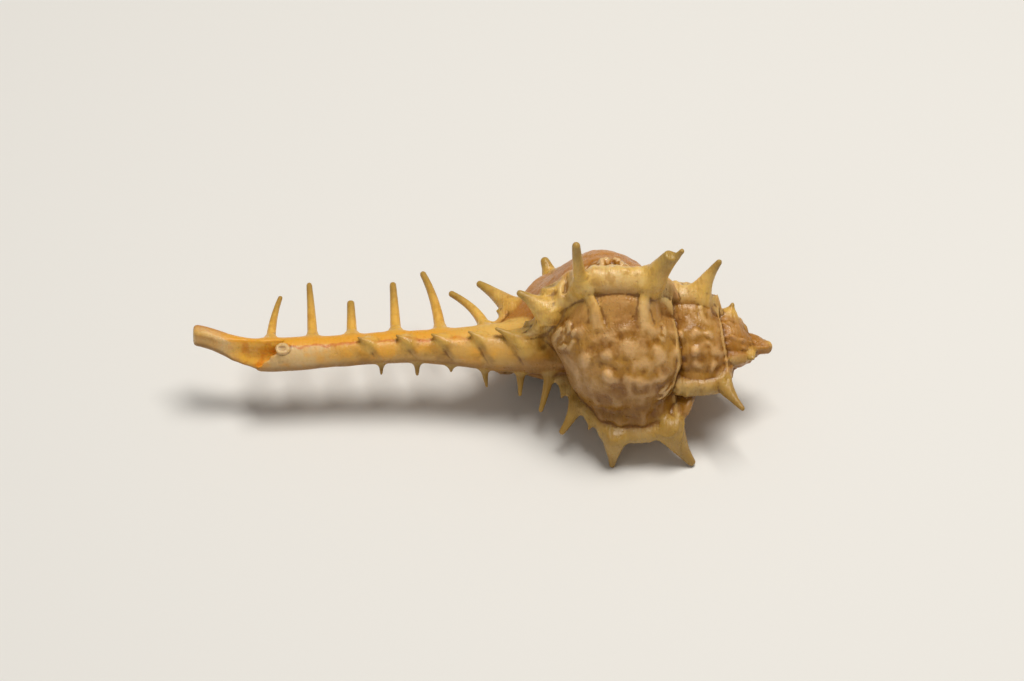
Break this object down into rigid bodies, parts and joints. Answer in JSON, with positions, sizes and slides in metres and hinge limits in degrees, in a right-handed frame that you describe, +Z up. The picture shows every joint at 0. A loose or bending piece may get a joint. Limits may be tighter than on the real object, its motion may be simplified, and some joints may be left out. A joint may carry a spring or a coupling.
{
  "type": "murex shell",
  "caption": "Spiny coiled sea snail shell with knobbly rounded whorls, thick spiny ridges and a long straight canal, resting mouth down.",
  "frame": {"origin": "centre of the bounding box in X and Y, at the surface that the shell rests on", "axes": "+X along the coiling axis towards the apex, the canal's tip at -X; +Y away from the side that the picture shows; +Z up from the table"},
  "size_m": [0.12, 0.056, 0.0503],
  "materials": {
    "shell": "satin"
  },
  "bodies": {
    "root": {"shell": "shell"}
  },
  "joints": []
}
